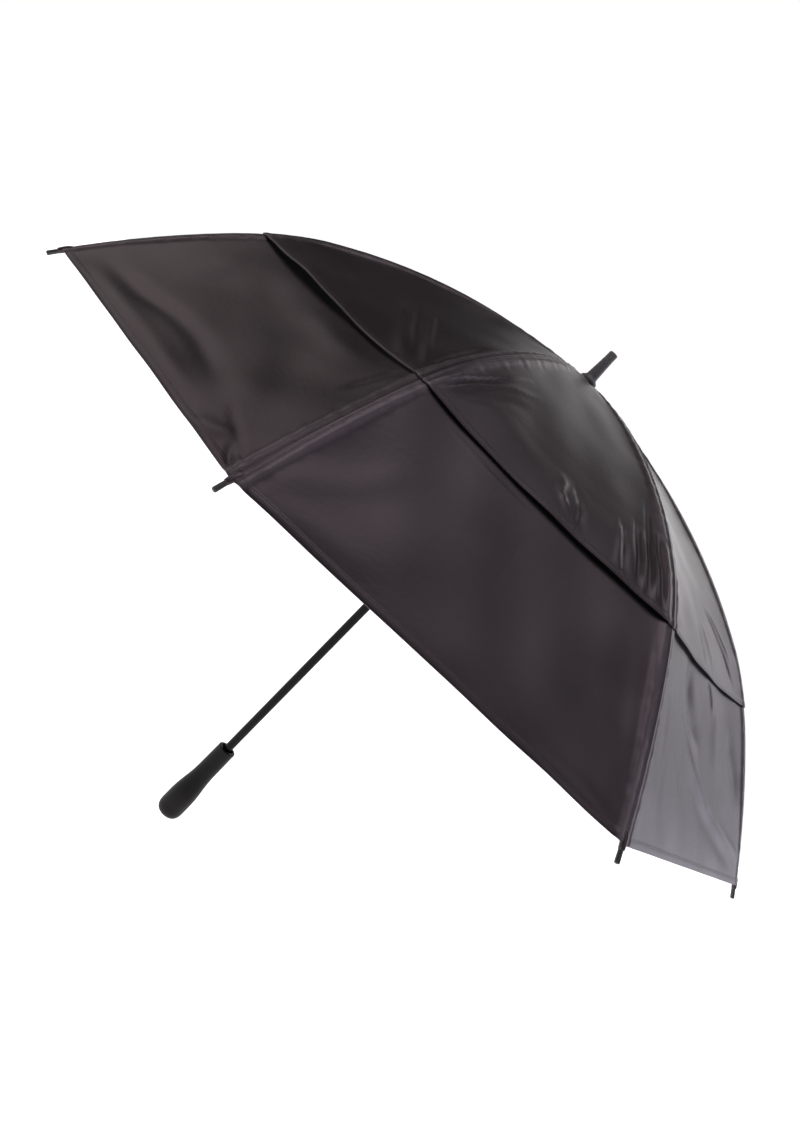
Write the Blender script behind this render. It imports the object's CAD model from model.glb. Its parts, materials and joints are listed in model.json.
import json
import math
import random

import bpy
import numpy as np
from mathutils import Matrix, Vector


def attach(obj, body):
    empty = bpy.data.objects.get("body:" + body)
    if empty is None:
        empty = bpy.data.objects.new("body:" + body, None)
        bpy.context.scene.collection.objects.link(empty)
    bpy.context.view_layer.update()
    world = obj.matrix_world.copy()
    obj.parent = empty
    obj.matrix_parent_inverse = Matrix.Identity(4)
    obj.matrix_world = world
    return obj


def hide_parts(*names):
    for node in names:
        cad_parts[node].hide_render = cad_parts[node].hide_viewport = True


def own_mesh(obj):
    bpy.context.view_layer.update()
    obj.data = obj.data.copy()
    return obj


# Looks of an open golf umbrella with a vented double canopy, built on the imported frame.
# Metres, +Z up the shaft.  Panel p runs from rib p to rib p + 1; t goes 0..1 across it
# and s is the distance along the ribs from the crown's pivots.

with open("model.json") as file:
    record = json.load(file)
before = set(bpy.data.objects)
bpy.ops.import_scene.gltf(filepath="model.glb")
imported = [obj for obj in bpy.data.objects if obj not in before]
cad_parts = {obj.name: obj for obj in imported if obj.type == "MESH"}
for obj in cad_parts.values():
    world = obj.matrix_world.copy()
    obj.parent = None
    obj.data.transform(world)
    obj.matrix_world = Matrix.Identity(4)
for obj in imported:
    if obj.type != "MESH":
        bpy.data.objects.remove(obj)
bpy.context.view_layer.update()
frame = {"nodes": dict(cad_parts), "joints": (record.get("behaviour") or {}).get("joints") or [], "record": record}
NODES = frame["nodes"]
scene = bpy.context.scene
scene.view_settings.view_transform = "Standard"
RNG = np.random.RandomState(11)

MM = 0.001
RIBS = 8
STEP = 2 * math.pi / RIBS
HALF = STEP / 2


def joint_place(name):
    return Vector(next(j for j in frame["joints"] if j["name"] == name)["pos_m"])


CROWN = joint_place("rib_1_hinge")
PIVOT_R, CROWN_Z = CROWN.x, CROWN.z

# the open rib's four arcs as in the part: radius, length
RIB_ARCS = [(0.990, 0.200), (0.930, 0.172), (0.590, 0.188), (1.440, 0.1993)]
START_ANGLE = math.radians(5.05)
JOINT_S = RIB_ARCS[0][1] + RIB_ARCS[1][1]
CORNER_S = sum(length for _, length in RIB_ARCS)
LOWER_INNER_S = 0.455
VENT_S = 0.517
HOLE_S = 0.009 - PIVOT_R
CLOTH = 0.0004                 # thickness of the cloth
SEAT = 0.0030                  # top of the cloth above the rib's centreline
SAG = 0.0120                   # how far mid panel sinks under the straight chord
HEM = 0.0094                   # width of the hem
HEM_STITCH = 0.0078            # distance of its stitching from the edge
SEAM_STITCH = 0.0042           # distance of a seam's stitching from the rib
CLOTH_SHINE = 0.60
TIES = [("inner", 0.170, 0.0021), ("inner", 0.285, 0.0021),    # rod, distance, rod's radius
        ("outer", 0.560, 0.0019), ("outer", 0.665, 0.0019)]


# ---------------------------------------------------------------- camera and stage
def make_camera():
    right = Vector((0.66926, 0.26603, 0.69377))
    up = Vector((-0.69922, -0.09036, 0.70917))
    back = Vector((0.25135, -0.95972, 0.12555))
    data = bpy.data.cameras.new("camera")
    data.lens = 28.913
    data.sensor_width = 36.0
    data.clip_start = 0.05
    data.clip_end = 60.0
    cam = bpy.data.objects.new("camera", data)
    scene.collection.objects.link(cam)
    m = Matrix.Identity(4)
    for column, axis in enumerate((right, up, back)):
        axis.normalize()
        for row in range(3):
            m[row][column] = axis[row]
    m.translation = (0.35126, -1.36340, 0.70966)
    cam.matrix_world = m
    scene.camera = cam


def nodes_of(tree):
    tree.nodes.clear()

    def add(kind, **sockets):
        node = tree.nodes.new(kind)
        for name, value in sockets.items():
            if hasattr(node, name):
                setattr(node, name, value)
            else:
                node.inputs[name.replace("_", " ")].default_value = value
        return node

    return add


def link(tree, a, out, b, into):
    tree.links.new(a.outputs[out], b.inputs[into])


# The studio's soft panels: azimuth, elevation and half width in degrees, strength, tint.
WHITE, COOL, WARM = (1.0, 1.0, 1.0), (1.0, 1.0, 1.12), (1.09, 1.0, 0.96)
PANELS = [(40, 5, 26, 1.7, COOL), (100, 5, 25, 2.2, WHITE), (52, 25, 24, 0.7, COOL),
          (80, 25, 24, 0.9, WHITE), (62, 37, 16, 0.7, WHITE), (102, 42, 16, 0.35, WHITE),
          (88, 33, 16, 0.85, WHITE), (320, 42, 20, 0.40, WHITE), (262, 46, 16, 0.55, WHITE),
          (186, 29, 26, 0.98, WARM), (0, 45, 26, 0.8, COOL), (250, 68, 26, 1.75, WHITE),
          (0, 90, 28, 0.75, WHITE)]
ROOM = 0.006                   # what the dark room itself sends back
BACKDROP = 1.02                # the white backdrop, seen by the camera only


def make_world():
    """A dark room with soft panels for the cloth to reflect, and a white backdrop."""
    world = bpy.data.worlds.new("studio")
    scene.world = world
    world.use_nodes = True
    tree = world.node_tree
    add = nodes_of(tree)
    out = add("ShaderNodeOutputWorld")
    coords = add("ShaderNodeTexCoord")
    total = add("ShaderNodeCombineXYZ")
    for axis in "XYZ":
        total.inputs[axis].default_value = ROOM
    for azimuth, elevation, width, strength, tint in PANELS:
        a, e = math.radians(azimuth), math.radians(elevation)
        dot = add("ShaderNodeVectorMath", operation="DOT_PRODUCT")
        dot.inputs[1].default_value = (math.cos(a) * math.cos(e), math.sin(a) * math.cos(e), math.sin(e))
        link(tree, coords, "Generated", dot, 0)
        panel = add("ShaderNodeMapRange")
        panel.interpolation_type = "SMOOTHSTEP"
        panel.inputs["From Min"].default_value = math.cos(math.radians(width))
        panel.inputs["From Max"].default_value = 1.0
        panel.inputs["To Max"].default_value = strength
        link(tree, dot, "Value", panel, "Value")
        glow = add("ShaderNodeVectorMath", operation="SCALE")
        glow.inputs[0].default_value = tint
        tree.links.new(panel.outputs[0], glow.inputs["Scale"])
        both = add("ShaderNodeVectorMath", operation="ADD")
        link(tree, total, 0, both, 0)
        link(tree, glow, 0, both, 1)
        total = both
    studio = add("ShaderNodeBackground")
    link(tree, total, 0, studio, "Color")
    seen = add("ShaderNodeBackground")
    seen.inputs["Color"].default_value = (1, 1, 1, 1)
    seen.inputs["Strength"].default_value = BACKDROP
    path = add("ShaderNodeLightPath")
    mix = add("ShaderNodeMixShader")
    link(tree, path, "Is Camera Ray", mix, 0)
    link(tree, studio, 0, mix, 1)
    link(tree, seen, 0, mix, 2)
    link(tree, mix, 0, out, "Surface")


def make_floor():
    half, z = 30.0, -2.2
    mesh = bpy.data.meshes.new("studio_floor")
    mesh.from_pydata([(-half, -half, z), (half, -half, z), (half, half, z), (-half, half, z)],
                     [], [(0, 1, 2, 3)])
    floor = bpy.data.objects.new("studio_floor", mesh)
    scene.collection.objects.link(floor)
    mat = bpy.data.materials.new("pale_floor")
    mat.use_nodes = True
    tree = mat.node_tree
    add = nodes_of(tree)
    out = add("ShaderNodeOutputMaterial")
    shader = add("ShaderNodeBsdfPrincipled")
    shader.inputs["Base Color"].default_value = (0.93, 0.93, 0.93, 1)
    shader.inputs["Roughness"].default_value = 0.9
    shader.inputs["Emission Color"].default_value = (1, 1, 1, 1)
    shader.inputs["Emission Strength"].default_value = 0.92
    link(tree, shader, 0, out, "Surface")
    mesh.materials.append(mat)


# ---------------------------------------------------------------- materials
def ramp(add, tree, source, socket, stops):
    node = add("ShaderNodeValToRGB")
    link(tree, source, socket, node, "Fac")
    elements = node.color_ramp.elements
    while len(elements) < len(stops):
        elements.new(0.5)
    for element, (place, colour) in zip(elements, stops):
        element.position = place
        element.color = (*colour, 1)
    return node


def noise(add, tree, coords, socket, scale, detail=3.0, roughness=0.5):
    node = add("ShaderNodeTexNoise")
    node.inputs["Scale"].default_value = scale
    node.inputs["Detail"].default_value = detail
    node.inputs["Roughness"].default_value = roughness
    link(tree, coords, socket, node, "Vector")
    return node


def math_node(add, tree, kind, a, b=None, clamp=False):
    """a and b are numbers or (node, socket) pairs."""
    node = add("ShaderNodeMath", operation=kind)
    node.use_clamp = clamp
    for place, value in enumerate((a, b)):
        if isinstance(value, tuple):
            tree.links.new(value[0].outputs[value[1]], node.inputs[place])
        elif value is not None:
            node.inputs[place].default_value = value
    return (node, 0)


def moulded(name, dark, light, rough, grain_scale, grain_depth, metallic=0.0, specular=0.5,
            stretch=(1, 1, 1), mottling=18.0):
    """A moulded, painted or drawn surface: mottled colour, uneven gloss and a fine grain."""
    mat = bpy.data.materials.new(name)
    mat.use_nodes = True
    tree = mat.node_tree
    add = nodes_of(tree)
    out = add("ShaderNodeOutputMaterial")
    shader = add("ShaderNodeBsdfPrincipled")
    shader.inputs["Metallic"].default_value = metallic
    shader.inputs["Specular IOR Level"].default_value = specular
    coords = add("ShaderNodeTexCoord")
    place = add("ShaderNodeMapping")
    place.inputs["Scale"].default_value = stretch
    link(tree, coords, "Object", place, "Vector")
    big = noise(add, tree, place, 0, mottling, 4.0)
    colour = ramp(add, tree, big, "Fac", [(0.3, dark), (0.72, light)])
    link(tree, colour, "Color", shader, "Base Color")
    fine = noise(add, tree, place, 0, grain_scale, 3.0, 0.6)
    gloss = add("ShaderNodeMapRange")
    gloss.inputs["To Min"].default_value = rough[0]
    gloss.inputs["To Max"].default_value = rough[1]
    link(tree, fine, "Fac", gloss, "Value")
    link(tree, gloss, "Result", shader, "Roughness")
    bump = add("ShaderNodeBump")
    bump.inputs["Strength"].default_value = 1.0
    bump.inputs["Distance"].default_value = grain_depth
    link(tree, fine, "Fac", bump, "Height")
    link(tree, bump, "Normal", shader, "Normal")
    link(tree, shader, 0, out, "Surface")
    return mat


def cloth_material(name, covered_to=None):
    """Black satin-woven cloth: weave, faint slubs, stitched seams and hems; matt where covered."""
    mat = bpy.data.materials.new(name)
    mat.use_nodes = True
    tree = mat.node_tree
    add = nodes_of(tree)
    out = add("ShaderNodeOutputMaterial")
    shader = add("ShaderNodeBsdfPrincipled")
    shader.inputs["Specular IOR Level"].default_value = CLOTH_SHINE
    shader.inputs["Specular Tint"].default_value = (1.0, 0.78, 0.90, 1)
    shader.inputs["Sheen Weight"].default_value = 0.06
    shader.inputs["Sheen Roughness"].default_value = 0.45
    shader.inputs["Sheen Tint"].default_value = (1.0, 0.93, 0.95, 1)
    lay = add("ShaderNodeAttribute")
    lay.attribute_type = "GEOMETRY"
    lay.attribute_name = "lay"
    parts = add("ShaderNodeSeparateXYZ")
    link(tree, lay, "Vector", parts, 0)
    x, s, edge = (parts, 0), (parts, 1), (parts, 2)

    # two stitched lines beside each seam, and one in each hem
    off_rib = math_node(add, tree, "ABSOLUTE", x)
    near_seam = math_node(add, tree, "ABSOLUTE", math_node(add, tree, "SUBTRACT", off_rib, SEAM_STITCH))
    near_hem = math_node(add, tree, "ABSOLUTE", math_node(add, tree, "SUBTRACT", edge, HEM_STITCH))

    def thread(distance, along):
        line = add("ShaderNodeMapRange")
        line.interpolation_type = "SMOOTHSTEP"
        line.inputs["From Min"].default_value = 0.0006
        line.inputs["From Max"].default_value = 0.0002
        tree.links.new(distance[0].outputs[0], line.inputs["Value"])
        turns = math_node(add, tree, "MULTIPLY", along, 2 * math.pi / 0.0028)
        wave = math_node(add, tree, "SINE", turns)
        dash = math_node(add, tree, "MULTIPLY_ADD", wave, 2.0)
        dash[0].inputs[2].default_value = 1.2
        dash[0].use_clamp = True
        return math_node(add, tree, "MULTIPLY", (line, 0), dash)

    stitches = math_node(add, tree, "MAXIMUM", thread(near_seam, s), thread(near_hem, x))

    yarns = add("ShaderNodeMapping")
    yarns.inputs["Scale"].default_value = (1.0, 0.3, 1.0)
    link(tree, lay, "Vector", yarns, "Vector")
    weave = noise(add, tree, yarns, 0, 1500.0, 1.0)
    slubs = noise(add, tree, lay, "Vector", 9.0, 5.0, 0.62)
    crinkle = noise(add, tree, lay, "Vector", 120.0, 3.0, 0.5)

    colour = ramp(add, tree, slubs, "Fac", [(0.28, (0.0120, 0.0088, 0.0104)),
                                            (0.74, (0.0215, 0.0165, 0.0190))])
    sewn = add("ShaderNodeMix")
    sewn.data_type = "RGBA"
    sewn.inputs[7].default_value = (0.05, 0.044, 0.047, 1)
    tree.links.new(stitches[0].outputs[0], sewn.inputs[0])
    tree.links.new(sewn.outputs[2], shader.inputs["Base Color"])

    # the doubled cloth beside a seam is stretched paler
    past = math_node(add, tree, "SUBTRACT", off_rib, 0.0088)
    squared = math_node(add, tree, "MULTIPLY", past, past)
    falling = math_node(add, tree, "MULTIPLY", squared, -1 / 0.0052 ** 2)
    band = math_node(add, tree, "EXPONENT", falling)
    patchy = math_node(add, tree, "MULTIPLY", band, (slubs, 0))
    paler = add("ShaderNodeMix")
    paler.data_type = "RGBA"
    tree.links.new(colour.outputs[0], paler.inputs[6])
    paler.inputs[7].default_value = (0.115, 0.092, 0.104, 1)
    tree.links.new(patchy[0].outputs[0], paler.inputs[0])
    tree.links.new(paler.outputs[2], sewn.inputs[6])

    if covered_to is not None:
        bare = add("ShaderNodeMapRange")
        bare.interpolation_type = "SMOOTHSTEP"
        bare.inputs["From Min"].default_value = covered_to
        bare.inputs["From Max"].default_value = covered_to + 0.005
        bare.inputs["To Min"].default_value = 0.02
        tree.links.new(parts.outputs[1], bare.inputs["Value"])
        shine = math_node(add, tree, "MULTIPLY", (bare, 0), CLOTH_SHINE)
        tree.links.new(shine[0].outputs[0], shader.inputs["Specular IOR Level"])
        unlit = add("ShaderNodeMix")
        unlit.data_type = "RGBA"
        unlit.inputs[6].default_value = (0.0012, 0.0010, 0.0011, 1)
        tree.links.new(sewn.outputs[2], unlit.inputs[7])
        tree.links.new(bare.outputs[0], unlit.inputs[0])
        tree.links.new(unlit.outputs[2], shader.inputs["Base Color"])

    gloss = add("ShaderNodeMapRange")
    gloss.inputs["From Min"].default_value = 0.25
    gloss.inputs["From Max"].default_value = 0.75
    gloss.inputs["To Min"].default_value = 0.33
    gloss.inputs["To Max"].default_value = 0.41
    link(tree, slubs, "Fac", gloss, "Value")
    link(tree, gloss, 0, shader, "Roughness")

    height = math_node(add, tree, "MULTIPLY", (weave, 0), 0.000030)
    waves = math_node(add, tree, "MULTIPLY_ADD", (crinkle, 0), 0.00016)
    tree.links.new(height[0].outputs[0], waves[0].inputs[2])
    raised = math_node(add, tree, "MULTIPLY_ADD", stitches, 0.00022)
    tree.links.new(waves[0].outputs[0], raised[0].inputs[2])
    bump = add("ShaderNodeBump")
    bump.inputs["Strength"].default_value = 1.0
    bump.inputs["Distance"].default_value = 1.0
    tree.links.new(raised[0].outputs[0], bump.inputs["Height"])
    link(tree, bump, "Normal", shader, "Normal")
    link(tree, shader, 0, out, "Surface")
    return mat


# ---------------------------------------------------------------- the canopy's surface
def meridian(s, lift=0.0):
    """Radius, height and slope (radians below level) along the open rib, for an array of s."""
    s = np.asarray(s, float)
    angle = START_ANGLE
    r = np.full(s.shape, PIVOT_R)
    z = np.full(s.shape, CROWN_Z)
    slope = np.full(s.shape, angle)
    before = np.minimum(s, 0.0)
    r = r + before * math.cos(angle)
    z = z - before * math.sin(angle)
    left = np.maximum(s, 0.0)
    for radius, length in RIB_ARCS:
        here = np.minimum(left, length)
        turned = angle + here / radius
        r = r + radius * (np.sin(turned) - math.sin(angle))
        z = z + radius * (np.cos(turned) - math.cos(angle))
        slope = np.where(left > 0, turned, slope)
        left = left - here
        angle = angle + length / radius
    r = r + left * np.cos(slope)
    z = z - left * np.sin(slope)
    return r + lift * np.sin(slope), z + lift * np.cos(slope), slope


def smooth(value, low, high):
    t = np.clip((value - low) / (high - low), 0.0, 1.0)
    return t * t * (3 - 2 * t)


def half_chord(s):
    return meridian(s)[0] * math.sin(HALF)


def crease(s, t, line, width, height, fade=0.25):
    """A soft ridge, or a valley where height is negative, along points of (t, s)."""
    px = (t - 0.5) * 2 * half_chord(s)
    knots = np.array([((a - 0.5) * 2 * float(half_chord(np.array(b * MM))), b * MM) for a, b in line])
    run = np.concatenate([[0], np.cumsum(np.linalg.norm(np.diff(knots, axis=0), axis=1))])
    wide = width * MM
    count = max(6, int(run[-1] / (0.5 * wide)) + 1)
    step = run[-1] / count
    along = (np.arange(count) + 0.5) / count
    spots = np.stack([np.interp(along * run[-1], run, knots[:, k]) for k in (0, 1)], -1)
    ends = 0.15 + 0.85 * smooth(along, 0.0, fade) * smooth(1 - along, 0.0, fade)
    total = np.zeros_like(px)
    near = ((px > spots[:, 0].min() - 3 * wide) & (px < spots[:, 0].max() + 3 * wide)
            & (s > spots[:, 1].min() - 3 * wide) & (s < spots[:, 1].max() + 3 * wide))
    if near.any():
        away = (px[near][:, None] - spots[:, 0]) ** 2 + (s[near][:, None] - spots[:, 1]) ** 2
        total[near] = np.exp(-away / wide ** 2) @ ends * step / (wide * math.sqrt(math.pi))
    return height * MM * total


# Folds of each panel: layer, points of (t, s in mm), width mm, height mm.
FOLDS = {
    6: [("lower", [(0.06, 722), (0.28, 712), (0.41, 696), (0.52, 692), (0.66, 700), (0.80, 716)], 14, -3.0),
        ("lower", [(0.10, 746), (0.30, 741), (0.48, 738), (0.69, 741), (0.80, 744)], 15, 2.8),
        ("lower", [(0.80, 752), (0.865, 742), (0.90, 728)], 10, 2.2),
        ("lower", [(0.915, 738), (0.945, 748), (0.975, 754)], 4, -1.5),
        ("lower", [(0.80, 712), (0.87, 722), (0.95, 734)], 6, -1.0),
        ("lower", [(0.955, 742), (0.985, 745)], 4, 1.4),
        ("lower", [(0.64, 630), (0.76, 676), (0.85, 702)], 24, 1.5),
        ("lower", [(0.24, 548), (0.47, 585), (0.62, 606)], 26, -1.7),
        ("lower", [(0.48, 540), (0.68, 556), (0.84, 545)], 20, 2.6),
        ("lower", [(0.893, 600), (0.91, 560), (0.925, 519)], 5, -1.8),
        ("lower", [(0.12, 560), (0.20, 610), (0.22, 660)], 26, 2.0),
        ("upper", [(0.43, 395), (0.72, 465), (0.88, 511)], 9, 1.8),
        ("upper", [(0.45, 372), (0.74, 448), (0.92, 501)], 6, -2.0),
        ("upper", [(0.50, 360), (0.79, 440), (0.95, 497)], 5, 1.8),
        ("upper", [(0.968, 508), (0.955, 470), (0.935, 430), (0.90, 352)], 5, -2.6),
        ("upper", [(0.30, 430), (0.35, 470), (0.33, 515)], 22, 1.2)],
    7: [("lower", [(0.05, 756), (0.16, 738), (0.30, 728)], 16, 0.9),
        ("lower", [(0.02, 735), (0.07, 708), (0.14, 670), (0.20, 610)], 16, 1.0),
        ("lower", [(0.30, 560), (0.34, 620), (0.30, 690)], 46, 2.4),
        ("lower", [(0.60, 545), (0.62, 610), (0.58, 700)], 50, -2.2),
        ("lower", [(0.86, 560), (0.90, 640), (0.94, 740)], 16, -1.6),
        ("lower", [(0.955, 540), (0.965, 600), (0.97, 660), (0.975, 715)], 4, 1.5),
        ("lower", [(0.97, 750), (0.88, 742), (0.72, 744)], 9, -1.6),
        ("lower", [(0.14, 530), (0.34, 535), (0.52, 533)], 3, 0.5),
        ("upper", [(0.018, 513), (0.045, 455), (0.085, 395), (0.15, 330)], 3.6, 2.0),
        ("upper", [(0.045, 510), (0.085, 450), (0.14, 395), (0.24, 340)], 4.4, 1.9),
        ("upper", [(0.032, 508), (0.065, 450), (0.11, 385)], 3.0, -1.6),
        ("upper", [(0.085, 498), (0.15, 445), (0.24, 385)], 6.5, -1.5),
        ("upper", [(0.50, 440), (0.515, 475), (0.56, 494)], 5, 1.9),
        ("upper", [(0.555, 438), (0.60, 470), (0.62, 505)], 5, -1.5),
        ("upper", [(0.775, 430), (0.79, 480), (0.80, 510)], 4.0, -2.4),
        ("upper", [(0.75, 430), (0.765, 480), (0.772, 514)], 4.0, 1.8),
        ("upper", [(0.835, 400), (0.845, 450), (0.85, 505)], 4.0, -2.6),
        ("upper", [(0.862, 410), (0.872, 455), (0.874, 510)], 3.4, 2.1),
        ("upper", [(0.905, 345), (0.90, 417), (0.892, 485), (0.89, 512)], 4.2, -3.2),
        ("upper", [(0.922, 400), (0.92, 455), (0.915, 512)], 3.2, 2.3),
        ("upper", [(0.94, 395), (0.945, 450), (0.95, 510)], 3.2, -2.6),
        ("upper", [(0.96, 400), (0.967, 450), (0.968, 514)], 3.0, 1.8),
        ("upper", [(0.40, 300), (0.45, 400), (0.42, 500)], 45, -2.0)],
    8: [("lower", [(0.34, 520), (0.33, 560), (0.40, 590), (0.50, 615)], 17, -5.5),
        ("lower", [(0.28, 590), (0.42, 632), (0.60, 678), (0.80, 705), (0.975, 722)], 6, 2.8),
        ("lower", [(0.36, 640), (0.52, 690), (0.76, 722), (0.93, 736)], 11, -2.4),
        ("lower", [(0.80, 570), (0.89, 617), (0.92, 655)], 16, -3.0),
        ("lower", [(0.56, 519), (0.59, 529), (0.62, 560)], 5, 1.8),
        ("lower", [(0.25, 640), (0.30, 662), (0.36, 690)], 8, -1.6),
        ("lower", [(0.12, 560), (0.15, 640), (0.12, 720)], 14, 1.8),
        ("lower", [(0.68, 540), (0.66, 590), (0.70, 640)], 18, 2.0),
        ("upper", [(0.60, 405), (0.72, 432), (0.80, 462), (0.86, 505)], 5, -1.8),
        ("upper", [(0.68, 402), (0.80, 430), (0.88, 465)], 5, 1.6),
        ("upper", [(0.50, 440), (0.56, 480), (0.60, 512)], 7, 1.3),
        ("upper", [(0.42, 455), (0.46, 485), (0.48, 512)], 6, -1.2),
        ("upper", [(0.30, 300), (0.34, 400), (0.30, 490)], 36, 1.6)],
}
# How far the upper canopy's free edge stands off the lower one at mid panel, mm, and where.
VENT_PUFF = {6: (9.5, 0.35, 0.26), 7: (3.0, 0.72, 0.34), 8: (2.0, 0.30, 0.27)}


def random_folds(panel):
    """Folds of a panel that hangs as the others do, drawn once from a fixed seed."""
    rng = random.Random(100 + panel)
    folds = []
    for side in (0, 1):
        for _ in range(3):
            off = rng.uniform(0.03, 0.14)
            reach = rng.uniform(50, 120)
            sign = rng.choice((-1, 1))
            a, b = off * 0.25, off + rng.uniform(0.02, 0.12)
            line = [(a, 754), (off, 758 - reach * 0.5), (b, 752 - reach)]
            if side:
                line = [(1 - t, s) for t, s in line]
            folds.append(("lower", line, rng.uniform(6, 15), sign * rng.uniform(1.2, 2.6)))
        for n in range(2):
            a = 0.03 + 0.05 * n + rng.uniform(0, 0.02)
            line = [(a, 512), (a * 1.5, 455), (a * 2.4, 390)]
            if side:
                line = [(1 - t, s) for t, s in line]
            folds.append(("upper", line, rng.uniform(3.5, 7), (1 - 2 * (n % 2)) * rng.uniform(0.9, 1.6)))
    for _ in range(4):
        t = rng.uniform(0.25, 0.75)
        drift = rng.uniform(-0.08, 0.08)
        low = rng.uniform(530, 600)
        folds.append(("lower", [(t, low), (t + drift, low + 70), (t, low + 130)],
                      rng.uniform(20, 44), rng.uniform(-3.0, 3.0)))
    for _ in range(3):
        t = rng.uniform(0.2, 0.8)
        folds.append(("upper", [(t, 330), (t + rng.uniform(-0.05, 0.05), 420), (t, 510)],
                      rng.uniform(12, 34), rng.uniform(-1.8, 1.8)))
    hem = rng.uniform(0.3, 0.7)
    folds.append(("lower", [(0.1, 748), (hem, 735), (0.9, 748)], 16, rng.uniform(1.5, 3.0)))
    folds.append(("lower", [(0.1, 735), (hem, 700), (0.9, 735)], 20, rng.uniform(-4.0, -2.0)))
    return folds


for number in range(1, RIBS + 1):
    if number not in FOLDS:
        FOLDS[number] = random_folds(number)
        pick = random.Random(200 + number)
        VENT_PUFF[number] = (pick.uniform(2.6, 6.4), pick.uniform(0.3, 0.7), pick.uniform(0.2, 0.34))
RIPPLES = {(layer, number): [(RNG.uniform(20, 75), RNG.uniform(-60, 60), RNG.uniform(0, 6.28),
                              RNG.uniform(0.10, 0.34)) for _ in range(7)]
           for layer in ("lower", "upper") for number in range(1, RIBS + 1)}


def seam_profile(x):
    """Height across a rib: the sewn valley, and the cloth puffed up on both sides of it."""
    a = np.abs(x)
    valley = -0.55 * np.exp(-(a / 0.0015) ** 2) - 0.22 * np.exp(-((a - 0.0042) / 0.0008) ** 2)
    puff = 1.75 * np.exp(-((a - 0.0094) / 0.0046) ** 2)
    return (valley + puff) * MM


def raised(layer, panel, s, t):
    """Height of the cloth's top over the straight chords between the ribs."""
    chord = 2 * half_chord(s)
    x = np.minimum(t, 1 - t) * chord
    inside = np.clip(4 * t * (1 - t), 0, 1)
    fullness = smooth(s, 0.02, 0.30) * smooth(CORNER_S - s, 0.0, 0.16)
    sag = -SAG * fullness * inside ** 0.75
    reach = np.minimum(1.0, chord / 0.060)
    height = sag + seam_profile(x) * reach
    from_rib = smooth(x, 0.0, 0.030)
    for fold_layer, line, width, tall in FOLDS[panel]:
        if fold_layer == layer:
            gate = smooth(x, 0.0, 0.004)
            height = height + crease(s, t, line, width, tall) * gate
    px = (t - 0.5) * chord
    for kx, ks, phase, size in RIPPLES[(layer, panel)]:
        height = height + size * MM * np.sin(kx * px + ks * s + phase) * from_rib * reach
    # puckers that the seam's stitching draws, along each rib
    pucker = np.exp(-((x - 0.010) / 0.008) ** 2) * reach
    phase = panel * 1.7 + np.where(t < 0.5, 0.0, 2.1)
    height = height + pucker * MM * (0.22 * np.sin(s * 210 + phase) + 0.16 * np.sin(s * 331 + 2 * phase))
    if layer == "upper":
        edge = VENT_S - s
        size, where, spread = VENT_PUFF[panel]
        puff = np.exp(-((t - where) / spread) ** 2) * smooth(inside, 0.0, 0.35)
        height = height + 0.0014 * smooth(s, 0.395, 0.452)
        height = height + size * MM * puff * smooth(s, 0.435, VENT_S) ** 1.2
        height = height + 0.0018 * smooth(inside, 0.0, 0.2) * smooth(s, 0.43, 0.47)
    else:
        edge = CORNER_S - s
        under = smooth(VENT_S + 0.004 - s, 0.0, 0.012)
        height = height - 0.0006 * under * smooth(x, 0.0, 0.02)
        height = height - 0.0004 * smooth(LOWER_INNER_S + 0.004 - s, 0.0, 0.004)
    hem = smooth(HEM - edge, 0.0, 0.0010) * 0.0005
    groove = -0.00035 * np.exp(-((edge - HEM_STITCH) / 0.0009) ** 2)
    curl = -0.0006 * np.exp(-(edge / 0.0016) ** 2)
    return height + hem + groove + curl


def surface(layer, panel, s, t):
    """Points on the top of the cloth: straight across from rib to rib, then raised."""
    s, t = np.broadcast_arrays(np.asarray(s, float), np.asarray(t, float))
    r, z, slope = meridian(s, SEAT)
    a, b = (panel - 1) * STEP, panel * STEP
    mid = (a + b) / 2
    x = (1 - t) * r * math.cos(a) + t * r * math.cos(b)
    y = (1 - t) * r * math.sin(a) + t * r * math.sin(b)
    tilt = np.arctan2(np.sin(slope), np.cos(slope) * math.cos(HALF))
    h = raised(layer, panel, s, t)
    x = x + h * np.sin(tilt) * math.cos(mid)
    y = y + h * np.sin(tilt) * math.sin(mid)
    z = z + h * np.cos(tilt)
    return np.stack([x, y, z], -1)


def surface_normals(layer, panel, s, t):
    """Outward unit normals; differences stay on the panel's own side of its ribs."""
    ds, dt = 0.0004, 0.0012
    t0, t1 = np.clip(t - dt, 0, 1), np.clip(t + dt, 0, 1)
    along = surface(layer, panel, s + ds, t) - surface(layer, panel, s - ds, t)
    across = surface(layer, panel, s, t1) - surface(layer, panel, s, t0)
    n = np.cross(along, across)
    n /= np.linalg.norm(n, axis=-1, keepdims=True)
    return np.where(n[..., 2:] < 0, -n, n)


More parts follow.
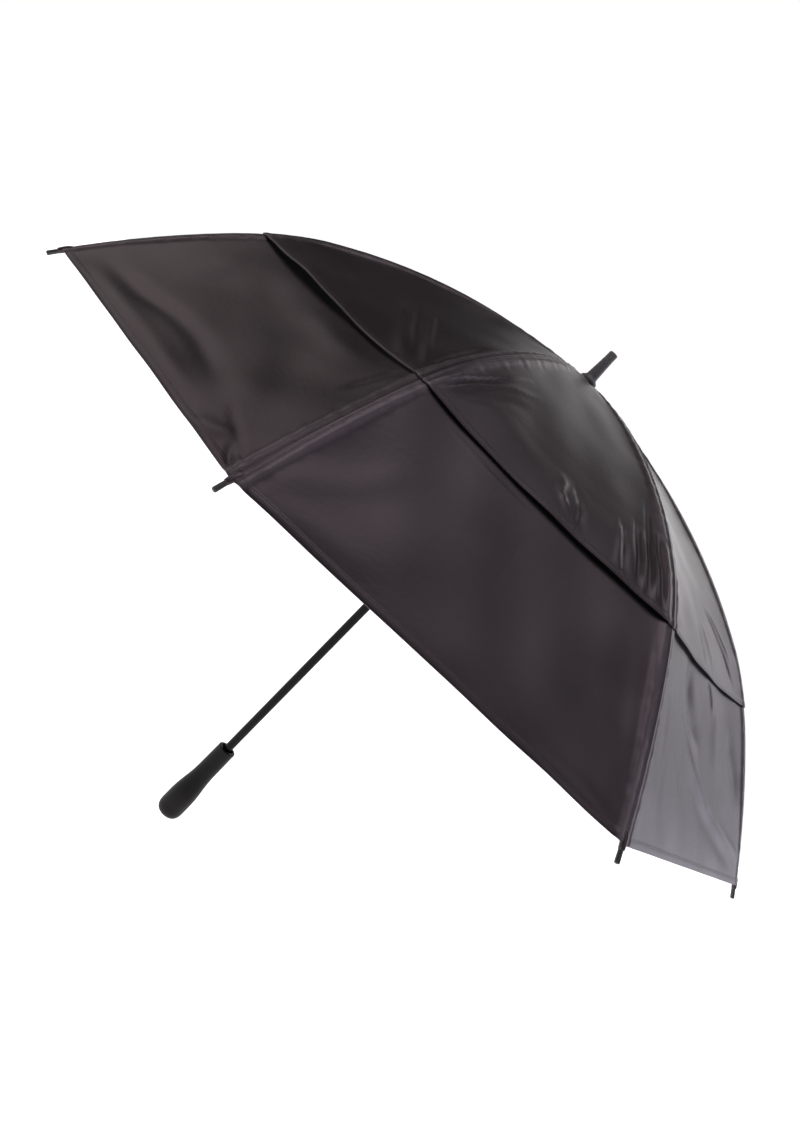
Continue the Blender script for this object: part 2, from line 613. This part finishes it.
def shell_mesh(name, top, under, normals, lay):
    """A closed thin shell from two grids of points, smooth on both faces and flat round its edge."""
    rows, cols = top.shape[:2]
    count = rows * cols
    index = np.arange(count).reshape(rows, cols)
    quad = np.stack([index[:-1, :-1], index[1:, :-1], index[1:, 1:], index[:-1, 1:]], -1).reshape(-1, 4)
    flat_top = top.reshape(-1, 3)
    q = quad[len(quad) // 2]
    facing = np.cross(flat_top[q[1]] - flat_top[q[0]], flat_top[q[2]] - flat_top[q[0]])
    if facing @ normals.reshape(-1, 3)[q[0]] < 0:
        quad = quad[:, ::-1]
    ring = np.concatenate([index[0, :-1], index[:-1, -1], index[-1, :0:-1], index[:0:-1, 0]])
    after = np.roll(ring, -1)
    if facing @ normals.reshape(-1, 3)[q[0]] < 0:
        walls = np.stack([ring + count, after + count, after, ring], -1)
    else:
        walls = np.stack([ring, after, after + count, ring + count], -1)
    faces = np.concatenate([quad, quad[:, ::-1] + count, walls])
    verts = np.concatenate([flat_top, under.reshape(-1, 3)])
    mesh = bpy.data.meshes.new(name)
    mesh.from_pydata(verts.tolist(), [], faces.tolist())
    n = normals.reshape(-1, 3)
    wall_n = np.cross(verts[walls[:, 1]] - verts[walls[:, 0]], verts[walls[:, 3]] - verts[walls[:, 0]])
    size = np.linalg.norm(wall_n, axis=1, keepdims=True)
    wall_n = np.where(size > 1e-14, wall_n / np.maximum(size, 1e-14), n[walls[:, 0] % count])
    loops = np.concatenate([n[quad].reshape(-1, 3), -n[quad[:, ::-1]].reshape(-1, 3),
                            np.repeat(wall_n, 4, axis=0)])
    mesh.polygons.foreach_set("use_smooth", [True] * len(faces))
    mesh.normals_split_custom_set(loops.tolist())
    data = mesh.attributes.new("lay", "FLOAT_VECTOR", "POINT")
    data.data.foreach_set("vector", np.concatenate([lay, lay]).astype(np.float32).ravel())
    return mesh


def columns(count, power=1.6):
    return 0.5 * (np.arange(count) / (count - 1)) ** power


def rows_between(start, end, pitch, fine_end):
    """Distances along the rib, closer together in the hem at the outer end."""
    hem = [0.0, 0.0006, 0.0016, 0.0032, 0.0052, 0.0066, 0.0074, 0.0082, 0.0088, 0.0094, 0.0104,
           0.0125, 0.0155] if fine_end else [0.0]
    rest = end - hem[-1]
    count = max(2, int(round((rest - start) / pitch)) + 1)
    return np.concatenate([np.linspace(start, rest, count)[:-1], end - np.array(hem[::-1])])


def cloth_area(points):
    """Area of a grid of points, each cell taken as two triangles."""
    first, last = points[:-1, :-1], points[1:, 1:]
    below, beside = points[1:, :-1], points[:-1, 1:]
    a = np.linalg.norm(np.cross(below - first, beside - first), axis=-1)
    b = np.linalg.norm(np.cross(below - last, beside - last), axis=-1)
    return float((a + b).sum() / 2)


CLOTH_MATERIAL = cloth_material("black_cloth")
LOWER_MATERIAL = cloth_material("black_lower_cloth", VENT_S - 0.001)


def half_gore(name, rib, side, layer, s_values, body, tucked=None):
    """One rib's cloth on one side of it, out to the middle of the panel."""
    panel = rib if side > 0 else (rib - 2) % RIBS + 1
    across = COLUMNS[layer]
    t = across if side > 0 else 1 - across
    s_grid, t_grid = np.meshgrid(s_values, t, indexing="ij")
    top = surface(layer, panel, s_grid, t_grid)
    normals = surface_normals(layer, panel, s_grid, t_grid)
    flat_area = cloth_area(top)
    edge = (VENT_S if layer == "upper" else CORNER_S) - s_grid
    under_hem = smooth(HEM - edge, 0.0, 0.0008) * 0.0005
    if tucked is not None:
        drop = 0.0010 * smooth(tucked - s_grid, 0.0, 0.0006)
        top = top - normals * drop[..., None]
    under = top - normals * (CLOTH + under_hem)[..., None]
    distance = np.minimum(t_grid, 1 - t_grid) * 2 * half_chord(s_grid) * side
    lay = np.stack([distance, s_grid, np.maximum(edge, 0)], -1).reshape(-1, 3)
    mesh = shell_mesh(name, top, under, normals, lay)
    mesh.materials.append(CLOTH_MATERIAL)
    if layer == "lower":
        mesh.materials.append(LOWER_MATERIAL)
        faces = (len(s_values) - 1) * (len(across) - 1)
        for face in mesh.polygons[:faces]:
            face.material_index = 1
    obj = bpy.data.objects.new(name, mesh)
    scene.collection.objects.link(obj)
    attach(obj, body)
    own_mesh(obj)
    wide = float(half_chord(s_values[-1]))
    long = float(s_values[-1] - s_values[0])
    area = min(flat_area, wide * long)
    return obj, (wide, long), area


COLUMNS = {"upper": columns(40), "lower": columns(56)}
UPPER_IN = rows_between(HOLE_S, JOINT_S, 0.0060, False)
UPPER_OUT = np.concatenate([np.linspace(JOINT_S - 0.040, JOINT_S - 0.0008, 8),
                            rows_between(JOINT_S, VENT_S, 0.0034, True)])
LOWER_ROWS = np.concatenate([[LOWER_INNER_S, LOWER_INNER_S + 0.002],
                             rows_between(LOWER_INNER_S + 0.006, CORNER_S, 0.0042, True)])


def build_canopy():
    for rib in range(1, RIBS + 1):
        for side, word in ((1, "a"), (-1, "b")):
            piece, flat, area = half_gore(
                f"upper_cloth_{rib}_{word}", rib, side, "upper", UPPER_IN, f"rib_{rib}")
            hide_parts(f"upper_canopy_{rib}")
            piece, flat, area = half_gore(
                f"upper_flap_{rib}_{word}", rib, side, "upper", UPPER_OUT, f"rib_{rib}_end",
                tucked=JOINT_S)
            piece, flat, area = half_gore(
                f"lower_cloth_{rib}_{word}", rib, side, "lower", LOWER_ROWS, f"rib_{rib}_end")
            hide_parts(f"lower_canopy_{rib}")


# ---------------------------------------------------------------- small sewn pieces
def tube_mesh(name, rings):
    """A skin over rings of points, capped at both ends."""
    count = len(rings[0])
    verts = [p for ring in rings for p in ring]
    faces = []
    for n in range(len(rings) - 1):
        for m in range(count):
            a, b = n * count + m, n * count + (m + 1) % count
            faces.append((a, b, b + count, a + count))
    faces.append(tuple(range(count))[::-1])
    faces.append(tuple(range((len(rings) - 1) * count, len(rings) * count)))
    mesh = bpy.data.meshes.new(name)
    mesh.from_pydata([tuple(v) for v in verts], [], faces)
    mesh.polygons.foreach_set("use_smooth", [True] * len(faces))
    mesh.update()
    return mesh


def rib_frame(azimuth, s):
    """Point on the rib's centreline, with the directions along it, sideways and up off it."""
    r, z, slope = (float(v) for v in meridian(np.array(s)))
    out = Vector((math.cos(azimuth), math.sin(azimuth), 0))
    along = out * math.cos(slope) - Vector((0, 0, 1)) * math.sin(slope)
    up = out * math.sin(slope) + Vector((0, 0, 1)) * math.cos(slope)
    return Vector((out.x * r, out.y * r, z)), along, up.cross(along), up


def finish_piece(name, mesh, body, material):
    mesh.materials.append(material)
    obj = bpy.data.objects.new(name, mesh)
    scene.collection.objects.link(obj)
    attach(obj, body)
    return obj


def with_lay(mesh):
    """Gives a small cloth piece the coordinates its weave needs, away from any seam or hem."""
    data = mesh.attributes.new("lay", "FLOAT_VECTOR", "POINT")
    for place, vert in zip(data.data, mesh.vertices):
        place.vector = (0.05 + vert.co.x, vert.co.y + vert.co.z * 0.7, 0.05)
    return mesh


def build_pouches():
    """The corner of the cloth is gathered and sewn round each tip cap's neck."""
    for rib in range(1, RIBS + 1):
        azimuth = (rib - 1) * STEP
        rings = []
        stations = [(-0.016, 0.0030, 0.0012), (-0.013, 0.0046, 0.0026), (-0.008, 0.0044, 0.0036),
                    (-0.003, 0.0038, 0.0037), (0.0015, 0.0034, 0.0035), (0.0040, 0.0032, 0.0033),
                    (0.0046, 0.0027, 0.0028)]
        for shift, half_width, half_height in stations:
            place, along, sideways, up = rib_frame(azimuth, CORNER_S + shift)
            ring = []
            for n in range(28):
                a = 2 * math.pi * n / 28
                pleat = 1 + 0.05 * math.cos(7 * a + rib)
                ring.append(place + up * 0.0004 + sideways * (half_width * pleat * math.cos(a))
                            + up * (half_height * pleat * math.sin(a)))
            rings.append(ring)
        mesh = with_lay(tube_mesh(f"tip_pouch_{rib}", rings))
        finish_piece(f"tip_pouch_{rib}", mesh, f"rib_{rib}_end", CLOTH_MATERIAL)


def build_ties():
    """Narrow cloth ties sewn to the seam and wrapped round the rod under it."""
    for rib in range(1, RIBS + 1):
        azimuth = (rib - 1) * STEP
        for number, (part, s, rod) in enumerate(TIES, 1):
            rings = []
            for shift, grow in ((-0.0042, 0.0), (-0.0038, 0.0005), (0.0, 0.00075), (0.0038, 0.0005),
                                (0.0042, 0.0)):
                place, along, sideways, up = rib_frame(azimuth, s + shift)
                ring = []
                for n in range(20):
                    a = 2 * math.pi * n / 20
                    below = min(1.0, max(0.0, 0.8 - math.sin(a)))
                    radius = rod + 0.00005 + (0.0001 + grow) * below
                    ring.append(place + sideways * radius * math.cos(a)
                                + up * radius * math.sin(a))
                rings.append(ring)
            name = f"rib_tie_{rib}_{number}"
            body = f"rib_{rib}" if part == "inner" else f"rib_{rib}_end"
            finish_piece(name, with_lay(tube_mesh(name, rings)), body, CLOTH_MATERIAL)


def paint_frame():
    rubber = moulded("grip_rubber", (0.0035, 0.0024, 0.0027), (0.0095, 0.0066, 0.0075), (0.42, 0.62),
                     1500.0, 0.00008, specular=0.20)
    plastic = moulded("black_plastic", (0.020, 0.018, 0.019), (0.040, 0.037, 0.039), (0.38, 0.55),
                      1200.0, 0.00004)
    rods = moulded("black_rods", (0.010, 0.010, 0.011), (0.022, 0.021, 0.022), (0.28, 0.42),
                   500.0, 0.00003, stretch=(1, 1, 0.2))
    tube = moulded("shaft_paint", (0.0035, 0.0033, 0.0031), (0.0075, 0.0071, 0.0067), (0.24, 0.38),
                   700.0, 0.00002, specular=0.15, stretch=(1, 1, 0.06))
    cap = moulded("ferrule_plastic", (0.105, 0.097, 0.105), (0.155, 0.143, 0.155), (0.40, 0.56),
                  1200.0, 0.00004)
    steel = moulded("bright_steel", (0.36, 0.36, 0.37), (0.52, 0.52, 0.53), (0.22, 0.38),
                    900.0, 0.00001, metallic=1.0)
    by_slot = {"grip_rubber": rubber, "black_plastic": plastic, "black_fibreglass": rods,
               "shaft_finish": tube, "steel": steel, "canopy_cloth": CLOTH_MATERIAL}
    slots = {p["node"]: p["material_slot"] for p in frame["record"]["subparts"]}
    for name, obj in NODES.items():
        obj.data.materials.clear()
        obj.data.materials.append(cap if name == "ferrule" else by_slot[slots[name]])


make_camera()
make_world()
make_floor()
paint_frame()
build_pouches()
build_ties()
build_canopy()
